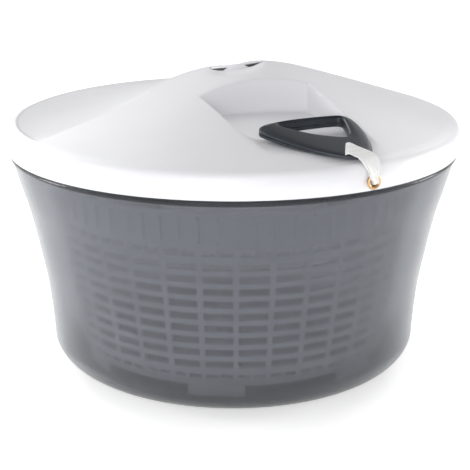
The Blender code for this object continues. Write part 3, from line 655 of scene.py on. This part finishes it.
class SPINNER_OT_basket(bpy.types.Operator):
    """Make the slotted basket with its ribbed collar, rolled rim and feet"""
    bl_idname = "spinner.basket"
    bl_label = "Basket"
    stations = (0.0, 0.16, 0.30, 0.44, 0.54, 0.62, 0.74, 0.88)
    middle_bar = 4

    def execute(self, context):
        basket = context.scene.spinner_basket
        levels = self.levels(basket)
        per_column = len(self.stations)
        turns = [math.tau * (c + s) / basket.columns for c in range(basket.columns) for s in self.stations]
        bm = bmesh.new()
        rings = [[bm.verts.new((r * math.cos(t), r * math.sin(t), z)) for t in turns] for r, z, _ in levels]
        for (low, high), (_, _, kind) in zip(zip(rings, rings[1:]), levels):
            for i in range(len(turns)):
                column, station = divmod(i, per_column)
                if self.is_slot(kind, station, column):
                    continue
                j = (i + 1) % len(turns)
                bm.faces.new((low[i], low[j], high[j], high[i]))
        bm.faces.new(rings[0][::-1])
        mesh = bpy.data.meshes.new("basket_body")
        bmesh.ops.recalc_face_normals(bm, faces=bm.faces)
        bm.to_mesh(mesh)
        bm.free()
        piece = bpy.data.objects.new("basket_body", mesh)
        context.scene.collection.objects.link(piece)
        solidify(piece, basket.wall)
        apply_modifiers(piece)
        dress(piece, "basket", "white_basket", finish_of("basket_white"), "basket")
        self.ribs(basket)
        self.feet(basket)
        return {"FINISHED"}

    def levels(self, basket):
        """(radius, height, kind of row above) from the central socket out and up to the rim."""
        floor = 15.5 * MM
        rings = [(8.4 * MM, 36.2 * MM, ""), (8.4 * MM, floor + 1 * MM, ""), (9.4 * MM, floor, ""),
                 (22 * MM, floor, "drain"), (38 * MM, floor, ""), (43 * MM, floor, "drain"),
                 (60 * MM, floor, ""), (65 * MM, floor, "drain"), (80 * MM, floor, ""),
                 (84.5 * MM, floor, ""), (86.3 * MM, floor + 0.6 * MM, ""),
                 (87.5 * MM, floor + 2.4 * MM, "")]
        for middle, tall, kind in self.rows(basket):
            for z, what in ((middle - tall / 2, kind), (middle + tall / 2, "")):
                rings.append((self.wall_radius(z), z, what))
        collar = in_mm((104.6, 111.5), (105.4, 117.4), (106.0, 118.3), (107.6, 118.5), (108.4, 119.2),
                       (108.4, 120.6))
        return rings + [(r, z, "") for r, z in collar]

    def rows(self, basket):
        """(middle height, slot height, kind) of each row of slots, from the bottom up."""
        first = 30.3 * MM
        rows = [(22.4 * MM, 2.8 * MM, "pair")]
        rows += [(first + basket.row_pitch * i, basket.slot_height, "wide") for i in range(basket.rows)]
        return rows + [(96.6 * MM, 3.6 * MM, "pair")]

    def wall_radius(self, z):
        heights, radii = in_mm((17.9, 27, 99, 112), (87.5, 90.6, 102.8, 104.6))
        return float(np.interp(z, heights, radii))

    def is_slot(self, kind, station, column):
        if kind == "wide":
            return station != 0
        if kind == "pair":
            return station not in (0, self.middle_bar)
        return kind == "drain" and station in (1, 2) and column % 2 == 0

    def ribs(self, basket):
        """Upright ribs on the collar above the slots."""
        verts, faces = [], []
        sunk, half = -0.6 * MM, 0.7 * MM
        for number_ in range(basket.columns * 2):
            turn = math.tau * (number_ + 0.22) / (basket.columns * 2)
            start = len(verts)
            for z, proud in ((102.4, 0.0), (104.2, 2.2), (115.6, 2.2), (117.6, 0.0)):
                radius = self.wall_radius(z * MM)
                out = proud * MM
                for reach, side in ((sunk, -half), (out, -half), (out, half), (sunk, half)):
                    r = radius + reach
                    verts.append((r * math.cos(turn) - side * math.sin(turn),
                                  r * math.sin(turn) + side * math.cos(turn), z * MM))
            for level in range(3):
                a = start + 4 * level
                faces += [(a + i, a + (i + 1) % 4, a + 4 + (i + 1) % 4, a + 4 + i) for i in range(4)]
            faces += [(start + 3, start + 2, start + 1, start), tuple(start + 12 + i for i in range(4))]
        piece = piece_from("basket_ribs", verts, faces)
        dress(piece, "basket", "white_basket", finish_of("basket_white"))

    def feet(self, basket):
        """Curved feet under the basket's edge."""
        verts, faces = [], []
        steps = 10
        outline = rounded(in_mm((83.6, 16.6, 0), (83.9, 8.7, 0.5), (85.8, 8.7, 0.5), (86.1, 16.6, 0)), 3)
        for foot in range(basket.feet):
            middle = math.radians(-96.2) + math.tau * foot / basket.feet
            rings = []
            for i in range(steps + 1):
                turn = middle + math.radians(21) * (i / steps - 0.5)
                rings.append([(r * math.cos(turn), r * math.sin(turn), z) for r, z in outline])
            start, sides = len(verts), len(rings[0])
            ring_verts, ring_faces = loft(rings)
            verts += ring_verts
            faces += [tuple(start + v for v in face) for face in ring_faces]
            faces.append(tuple(start + i for i in range(sides))[::-1])
            faces.append(tuple(start + steps * sides + i for i in range(sides)))
        piece = piece_from("basket_feet", verts, faces)
        dress(piece, "basket", "white_basket", finish_of("basket_white"))


class SPINNER_OT_lid(bpy.types.Operator):
    """Make the lid with its off-centre crown, crease, finger pocket and side band"""
    bl_idname = "spinner.lid"
    bl_label = "Lid"
    sides = 360

    def execute(self, context):
        lid = context.scene.spinner_lid
        edge_r = TOP_EDGE_R
        rim = circle(edge_r, self.sides)
        hole = button_outline(OPENING_GAP, BUTTON_BOW + OPENING_FRONT)
        spots = rim + hole + self.grid(lid, edge_r)
        rings = [range(self.sides), range(self.sides, self.sides + len(hole))]
        edges = [(ring[i], ring[(i + 1) % len(ring)]) for ring in rings for i in range(len(ring))]
        spots = [Vector(spot) for spot in spots]
        flat, _, faces, origins, _, _ = geometry.delaunay_2d_cdt(spots, edges, [], 0, 1e-6)
        flat = np.array([tuple(p) for p in flat])
        verts = [(x, y, z) for (x, y), z in zip(flat, lid_height(flat[:, 0], flat[:, 1], lid))]
        faces = [f for f in faces if not self.in_hole(f, flat, hole)]
        order = {s: i for i, source in enumerate(origins) for s in source if s < self.sides}
        previous = [order[i] for i in range(self.sides)]
        for r, z in self.band(edge_r, lid_height(np.array([edge_r]), np.array([0.0]), lid)[0]):
            fresh = [len(verts) + i for i in range(self.sides)]
            verts += [(x, y, z) for x, y in circle(r, self.sides)]
            faces += [(previous[i], fresh[i], fresh[(i + 1) % self.sides], previous[(i + 1) % self.sides])
                      for i in range(self.sides)]
            previous = fresh
        piece = piece_from("lid_body", verts, faces, 60)
        solidify(piece, lid.wall)
        self.cut_eyelet_hole(piece)
        apply_modifiers(piece, 50)
        dress(piece, "lid", "white_lid", finish_of("lid_white"), "lid_shell")
        return {"FINISHED"}

    def grid(self, lid, edge_r):
        """Points over the lid's top: evenly spread, and closer together where it bends."""
        spots = []
        for ring in range(1, 62):
            r = 2.0 * MM * ring
            around = max(8, int(math.tau * r / (2.2 * MM)))
            spots += [(r * math.cos(math.tau * (i + 0.5 * (ring % 2)) / around),
                       r * math.sin(math.tau * (i + 0.5 * (ring % 2)) / around)) for i in range(around)
                      if r < edge_r - EDGE_CLEARANCE]
        step = 0.65 * MM
        line = np.arange(-edge_r, edge_r, step)
        x, y = np.meshgrid(line, line)
        x = x + 0.5 * step * (np.arange(len(line)) % 2)[:, None]
        bend = (lid_height(x + step, y, lid) + lid_height(x - step, y, lid) + lid_height(x, y + step, lid)
                + lid_height(x, y - step, lid) - 4 * lid_height(x, y, lid)) / step ** 2
        wanted = (np.abs(bend) > 45.0) & (np.hypot(x, y) < edge_r - EDGE_CLEARANCE)
        return spots + list(zip(x[wanted].tolist(), y[wanted].tolist()))

    def in_hole(self, face, flat, hole):
        """Whether a triangle lies in the part of the brake button's opening that is cut."""
        cx, cy = flat[list(face)].mean(axis=0)
        if abs(cx - BUTTON_MIDDLE) > OPENING_REACH or cy > OPENING_REACH or cy < OPENING_CUT_FROM:
            return False
        inside = False
        for (ax, ay), (bx, by) in zip(hole, hole[1:] + hole[:1]):
            if (ay > cy) != (by > cy) and cx < (bx - ax) * (cy - ay) / (by - ay) + ax:
                inside = not inside
        return inside

    def band(self, edge_r, edge_z):
        """The rounded shoulder and the side band, from the top's edge down."""
        shape = smooth_through([(edge_r / MM, 0, edge_z / MM), (125.2, 0, 147.35), (127.1, 0, 146.5),
                                (128.6, 0, 144.8), (129.5, 0, 142.2), (129.9, 0, 139.2), (129.75, 0, 136.0),
                                (129.3, 0, 133.2), (129.0, 0, 132.2)], 3)
        return [(p.x * MM, p.z * MM) for p in shape[1:]]

    def cut_eyelet_hole(self, piece):
        """A round hole through the side band for the eyelet."""
        bm = bmesh.new()
        radius = 3.1 * MM
        bmesh.ops.create_cone(bm, cap_ends=True, segments=40, radius1=radius, radius2=radius, depth=16 * MM)
        mesh = bpy.data.meshes.new("eyelet_cutter")
        bm.to_mesh(mesh)
        bm.free()
        cutter = bpy.data.objects.new("eyelet_cutter", mesh)
        bpy.context.scene.collection.objects.link(cutter)
        place_on_pull(cutter)
        step = piece.modifiers.new("eyelet", "BOOLEAN")
        step.operation = "DIFFERENCE"
        step.object = cutter
        bpy.context.view_layer.update()
        apply_modifiers(piece, 50)
        bpy.data.objects.remove(cutter)


# The button's rings: millimetres out from its edge, and down from the lid's surface.
BUTTON_RINGS = ((-12.0, 0.0), (-9.0, 0.0), (-5.0, 0.0), (-2.0, 0.0), (-0.9, 0.03), (-0.3, 0.1), (-0.05, 0.25),
                (0.0, 0.45), (-0.4, 0.7), (-10.0, 1.5))


class SPINNER_OT_button(bpy.types.Operator):
    """Make the half-moon brake button in the crown"""
    bl_idname = "spinner.button"
    bl_label = "Brake button"

    def execute(self, context):
        lid = context.scene.spinner_lid
        rings = []
        for grow, drop in BUTTON_RINGS:
            outline = self.shrunk(grow)
            x, y = np.array([p[0] for p in outline]), np.array([p[1] for p in outline])
            z = lid_height(x, y, lid) - drop * MM
            rings.append(list(zip(x, y, z)))
        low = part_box("brake_button")[0].z
        rings.append([(x, y, low) for x, y, _ in rings[-1]])
        verts, faces = loft(rings)
        faces.append(tuple(range(len(rings[0]))))
        faces.append(tuple(range(len(verts) - len(rings[0]), len(verts)))[::-1])
        piece = piece_from("brake_button_cap", verts, faces, 50)
        dress(piece, "brake", "white_lid", finish_of("lid_white"), "brake_button")
        return {"FINISHED"}

    def shrunk(self, grow):
        """The button's outline drawn towards its middle by about the given millimetres."""
        middle = Vector((BUTTON_MIDDLE, 6 * MM))
        share = 1 + grow / 14.5
        return [tuple(middle + (Vector(p) - middle) * share) for p in button_outline(0.0, BUTTON_BOW)]


def place_on_pull(piece):
    """Put a piece at the eyelet with its Z along the line of pull."""
    piece.location = (EYELET_LOW + EYELET_HIGH) / 2
    piece.rotation_mode = "QUATERNION"
    piece.rotation_quaternion = PULL_AXIS.to_track_quat("Z", "Y")


class SPINNER_OT_eyelet(bpy.types.Operator):
    """Turn the rolled brass eyelet in the lid's side band"""
    bl_idname = "spinner.eyelet"
    bl_label = "Cord eyelet"

    def execute(self, context):
        half = 2.6 * MM
        profile = rounded([(2.5 * MM, -half, 0), (2.5 * MM, half, 0.9 * MM), (4.2 * MM, half, 0.8 * MM),
                           (4.2 * MM, half - 1.2 * MM, 0.4 * MM), (2.95 * MM, half - 1.2 * MM, 0),
                           (2.95 * MM, -half, 0)], 6)
        piece = turned("eyelet_ring", profile, 56, 50)
        place_on_pull(piece)
        dress(piece, "lid", "brass_eyelet", finish_of("rolled_brass"), "cord_eyelet")
        return {"FINISHED"}


# The handle's rim and its finger hole: points in plan, in millimetres, anticlockwise from the pointed end.
HANDLE_RIM = ((13.3, -88.5), (15.8, -91.8), (21, -95.8), (30.5, -102.2), (42.5, -108), (54, -111),
              (60.5, -111.4), (66.5, -109.4), (70.4, -104.2), (71.2, -97.5), (70.6, -90), (68.3, -78.5),
              (65.2, -70), (61.6, -64.7), (56.5, -63.3), (50, -65.4), (40.6, -69.3), (29.8, -74.6),
              (21.6, -79.9), (16, -84.4))
HANDLE_HOLE = ((23.5, -83.2), (32, -87.5), (42, -90.1), (52, -90.3), (58.4, -89.3), (60.4, -86.6),
               (60, -79.5), (58.7, -71.5), (57.2, -67.4), (54.3, -66.9), (46, -70.6), (34, -77))
HANDLE_MIDDLE = Vector((48, -80))
HANDLE_FAR = 124 * MM
FACE_SLOPE, BACK_SLOPE = 0.25, 0.165


def closed_curve(spots):
    """Points on a smooth closed curve through the given ones."""
    curve, per_span = [], 10
    for i in range(len(spots)):
        span = [Vector(spots[(i + k) % len(spots)]) for k in (-1, 0, 1, 2)]
        curve += [on_span(*span, k / per_span) for k in range(per_span)]
    return curve


def seen_from_middle(curve, turns):
    """Where rays from the handle's middle at the given angles meet a closed curve."""
    spokes = [spot - HANDLE_MIDDLE for spot in curve]
    angles = np.unwrap([math.atan2(spoke.y, spoke.x) for spoke in spokes])
    angles = np.concatenate((angles - math.tau, angles, angles + math.tau))
    reach = np.interp(turns, angles, [spoke.length for spoke in spokes] * 3)
    return [HANDLE_MIDDLE + Vector((math.cos(t), math.sin(t))) * r for t, r in zip(turns, reach)]


def handle_loops():
    """The rim and the hole, with their points facing one another."""
    rim = closed_curve(HANDLE_RIM)
    turns = [math.atan2((spot - HANDLE_MIDDLE).y, (spot - HANDLE_MIDDLE).x) for spot in rim]
    return rim, seen_from_middle(closed_curve(HANDLE_HOLE), turns)


def moved_out(loop, grow):
    """A closed loop moved outwards by the given millimetres."""
    moved = []
    for i, spot in enumerate(loop):
        along = (loop[(i + 1) % len(loop)] - loop[i - 1]).normalized()
        moved.append(spot + Vector((along.y, -along.x)) * grow)
    return moved


class SPINNER_OT_handle(bpy.types.Operator):
    """Loft the two shells of the triangular handle"""
    bl_idname = "spinner.handle"
    bl_label = "Handle"

    def execute(self, context):
        handle = context.scene.spinner_handle
        rim, hole = handle_loops()
        brow, lip = moved_out(rim, -3.0), moved_out(hole, 1.0)
        top = [(hole, 0.56), (hole, 0.20), (moved_out(hole, 0.25), 0.07), (lip, 0.0)]
        for share in (0.2, 0.4, 0.6, 0.8):
            top.append(([a.lerp(b, share) for a, b in zip(lip, brow)], -0.05 * math.sin(math.pi * share)))
        top += [(brow, 0.0), (moved_out(rim, -1.7), 0.04), (moved_out(rim, -0.8), 0.12),
                (moved_out(rim, -0.25), 0.24), (rim, 0.40), (rim, 0.56)]
        base = [(hole, 0.66), (rim, 0.66), (rim, 0.84), (moved_out(rim, -0.5), 0.95),
                (moved_out(rim, -1.4), 1.0), (moved_out(hole, 0.8), 1.0), (hole, 0.92)]
        for name, levels, node in (("handle_face", top, "handle_top"), ("handle_back", base, "handle_base")):
            rings = [[(p.x * MM, p.y * MM, handle_height(handle, p.x * MM, p.y * MM, depth)) for p in loop]
                     for loop, depth in levels]
            verts, faces = loft(rings, closed_loft=True)
            piece = piece_from(name, verts, faces, 48)
            dress(piece, "handle", "slate_handle", finish_of("slate_soft_touch"), node)
        return {"FINISHED"}


def handle_height(handle, x, y, depth):
    """Height inside the handle: depth 0 is its face and depth 1 its back."""
    short = HANDLE_FAR - (x * POCKET_OUT[0] + y * POCKET_OUT[1])
    face = handle.face_far + FACE_SLOPE * short
    back = handle.back_far + BACK_SLOPE * short
    return face + (back - face) * depth


# The free cord lies on the handle's face, goes over its nose and drops to the eyelet: points in metres.
CORD_ON_FACE = ((0.0588, -0.1052), (0.0625, -0.1080), (0.0660, -0.1104))
CORD_DROP = ((0.0683, -0.1120, 0.1502), (0.0700, -0.1129, 0.1472), (0.0709, -0.1128, 0.1436),
             (0.0712, -0.1122, 0.1402))
CORD_SLOT = (0.0560, -0.1032)
ACROSS_FACE, ACROSS_DROP = Vector((0.07, 1.0, 0.0)), Vector((0.74, 0.67, 0.0))
FOLDS = 3


class SPINNER_OT_cord(bpy.types.Operator):
    """Lay the flat woven cord from the eyelet over the handle's nose into the slot in its face"""
    bl_idname = "spinner.cord"
    bl_label = "Pull cord"

    def execute(self, context):
        handle = context.scene.spinner_handle
        centre = (EYELET_LOW + EYELET_HIGH) / 2
        mouth = centre + PULL_AXIS * 2.4 * MM
        route = [centre - PULL_AXIS * 17 * MM, centre - PULL_AXIS * 5 * MM, mouth]
        route += [Vector(spot) for spot in reversed(CORD_DROP)]
        route += [Vector((x, y, handle_height(handle, x, y, 0) + 0.9 * MM))
                  for x, y in reversed(CORD_ON_FACE)]
        route.append(Vector((*CORD_SLOT, handle_height(handle, *CORD_SLOT, 0) - 1.6 * MM)))
        path = smooth_through(route, 8)
        along = np.linspace(0, 1, len(path))
        widths = np.interp(along, [0, 0.2, 0.3, 0.4, 0.5, 0.6, 1.0], [3.2, 3.4, 4.6, 7.6, 11.2, 13.0, 14.0])
        thick = np.interp(along, [0, 0.3, 0.5, 0.7, 1.0], [2.2, 2.0, 1.3, 1.0, 1.0])
        folded = np.interp(along, [0, 0.3, 0.45, 0.6, 1.0], [0.5, 0.55, 0.5, 0.12, 0.0])
        piece = self.tape(path, widths, thick, folded)
        piece.data.materials.append(finish_of("woven_cord"))
        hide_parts("pull_cord")
        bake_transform(piece)
        return {"FINISHED"}

    def tape(self, path, widths, thick, folded):
        """A flat ribbon along the path, gathered into lengthwise folds where it narrows."""
        rings = []
        steps = 36
        for i, here in enumerate(path):
            along = (path[min(i + 1, len(path) - 1)] - path[max(i - 1, 0)]).normalized()
            on_face = float(smooth_step(0.6, 0.85, i / (len(path) - 1)))
            side = ACROSS_DROP.lerp(ACROSS_FACE, on_face)
            side.z = -on_face * FACE_SLOPE * side.to_2d().dot(Vector(POCKET_OUT))
            side.normalize()
            up = along.cross(side).normalized()
            half_w, half_t = widths[i] * MM / 2, thick[i] * MM / 2
            ring = []
            for k in range(steps):
                turn = math.tau * k / steps
                c, s = math.cos(turn), math.sin(turn)
                flat_c = math.copysign(abs(c) ** 0.6, c)
                flat_s = math.copysign(abs(s) ** 0.8, s)
                wave = folded[i] * MM * math.cos(FOLDS * math.pi * flat_c + 0.6)
                ring.append(here + side * half_w * flat_c + up * (half_t * flat_s + wave))
            rings.append(ring)
        verts, faces = loft(rings)
        faces.append(tuple(range(steps))[::-1])
        faces.append(tuple(range(len(verts) - steps, len(verts))))
        return piece_from("pull_cord_tape", verts, faces, 60)


class SPINNER_OT_drive(bpy.types.Operator):
    """Give the drive, brake and fastener pieces their finishes"""
    bl_idname = "spinner.drive"
    bl_label = "Drive and fasteners"
    finishes = {
        "soft_rubber": "non_slip_rubber", "grey_acetal": "grey_bearing_plastic", "steel": "bright_steel",
        "white_lid": "lid_white", "white_cord": "woven_cord", "white_basket": "basket_white",
        "brass_eyelet": "rolled_brass", "slate_handle": "slate_soft_touch", "smoky_bowl": "smoky_plastic",
    }

    def execute(self, context):
        slots = {s["node"]: s["material_slot"] for s in frame["record"]["subparts"]}
        for name, piece in frame["nodes"].items():
            piece.data.materials.clear()
            piece.data.materials.append(finish_of(self.finishes[slots[name]]))
        return {"FINISHED"}


# Each light: name, place, what it faces, its sides and its power in watts.
SOFTBOXES = (
    ("front", (-0.15, -1.6, 0.55), (0, 0, 0.14), (1.2, 0.6), 9.5),
    ("side_left", (-1.15, 0.10, 0.02), (0, 0, 0.05), (0.35, 0.7), 15.0),
    ("side_right", (1.20, 0.30, 0.05), (0, 0, 0.06), (0.35, 0.6), 10.0),
    ("back_left", (-0.75, 0.9, 0.95), (0, 0, 0.15), (0.9, 0.9), 8.0),
    ("back_right", (0.8, 0.9, 0.9), (0, 0, 0.15), (0.7, 0.7), 5.0),
)


class SPINNER_OT_stage(bpy.types.Operator):
    """Set out the pale floor, the soft lights and the camera"""
    bl_idname = "spinner.stage"
    bl_label = "Stage"

    def execute(self, context):
        scene, stage = context.scene, context.scene.spinner_stage
        self.floor()
        self.sky(scene)
        for light in SOFTBOXES:
            self.softbox(*light)
        camera = bpy.data.objects.new("view_camera", bpy.data.cameras.new("view_camera"))
        scene.collection.objects.link(camera)
        camera.location = (stage.side_step, -stage.camera_distance, stage.camera_height)
        camera.rotation_euler = (math.radians(90 - stage.camera_pitch), 0, 0)
        camera.data.lens = stage.lens
        camera.data.sensor_width = 36.0
        camera.data.clip_start = 0.05
        scene.camera = camera
        scene.view_settings.view_transform = "Standard"
        return {"FINISHED"}

    def floor(self):
        sides = 64
        verts, faces = loft([[(x, y, 0.0) for x, y in circle(r, sides)] for r in (0.02, 0.3, 1.0, 6.0)])
        faces.append(tuple(range(sides)))
        floor = piece_from("pale_floor", verts, faces)
        material, tree, shader = new_material("pale_floor", specular=0.2)
        cloud = noise(tree, object_place(tree), 3.0)
        pale = mix_colour(tree, cloud, (0.90, 0.90, 0.90), (0.88, 0.88, 0.885))
        tree.links.new(pale, shader.inputs["Base Color"])
        shader.inputs["Roughness"].default_value = 0.7
        shader.inputs["Emission Color"].default_value = (1, 1, 1, 1)
        shader.inputs["Emission Strength"].default_value = 0.56
        floor.data.materials.append(material)

    def sky(self, scene):
        world = bpy.data.worlds.new("soft_studio")
        world.use_nodes = True
        tree = world.node_tree
        direction = tree.nodes.new("ShaderNodeSeparateXYZ")
        tree.links.new(tree.nodes.new("ShaderNodeTexCoord").outputs["Generated"], direction.inputs["Vector"])
        back = tree.nodes["Background"]
        back.inputs["Color"].default_value = (1.0, 1.0, 1.0, 1.0)
        strength = spread(tree, direction.outputs["X"], -0.9, 0.9, 0.52, 0.33, smooth=True)
        tree.links.new(strength, back.inputs["Strength"])
        scene.world = world

    def softbox(self, name, place, target, size, power):
        data = bpy.data.lights.new(name, "AREA")
        data.shape = "RECTANGLE"
        data.size, data.size_y = size
        data.energy = power
        light = bpy.data.objects.new(name, data)
        bpy.context.scene.collection.objects.link(light)
        light.location = place
        light.rotation_mode = "QUATERNION"
        light.rotation_quaternion = (Vector(target) - Vector(place)).to_track_quat("-Z", "Y")


OPERATORS = (SPINNER_OT_materials, SPINNER_OT_bowl, SPINNER_OT_basket, SPINNER_OT_lid, SPINNER_OT_button,
             SPINNER_OT_eyelet, SPINNER_OT_handle, SPINNER_OT_cord, SPINNER_OT_drive, SPINNER_OT_stage)


class SPINNER_PT_panel(bpy.types.Panel):
    """Sizes, colours and build steps of the salad spinner"""
    bl_idname = "SPINNER_PT_panel"
    bl_label = "Salad Spinner"
    bl_space_type = "VIEW_3D"
    bl_region_type = "UI"
    bl_category = "Spinner"

    def draw(self, context):
        for name, settings in SETTINGS.items():
            box = self.layout.box()
            box.label(text=name.replace("_", " ").title())
            for field in settings.__annotations__:
                box.prop(getattr(context.scene, name), field)
        for operator in OPERATORS:
            self.layout.operator(operator.bl_idname)


def register():
    for settings in SETTINGS.values():
        bpy.utils.register_class(settings)
    for operator in OPERATORS:
        bpy.utils.register_class(operator)
    bpy.utils.register_class(SPINNER_PT_panel)
    for name, settings in SETTINGS.items():
        setattr(bpy.types.Scene, name, bpy.props.PointerProperty(type=settings))


def unregister():
    for name in SETTINGS:
        delattr(bpy.types.Scene, name)
    bpy.utils.unregister_class(SPINNER_PT_panel)
    for operator in reversed(OPERATORS):
        bpy.utils.unregister_class(operator)
    for settings in reversed(list(SETTINGS.values())):
        bpy.utils.unregister_class(settings)


def main():
    register()
    for operator in OPERATORS:
        group, name = operator.bl_idname.split(".")
        getattr(getattr(bpy.ops, group), name)()


if __name__ == "__main__":
    main()
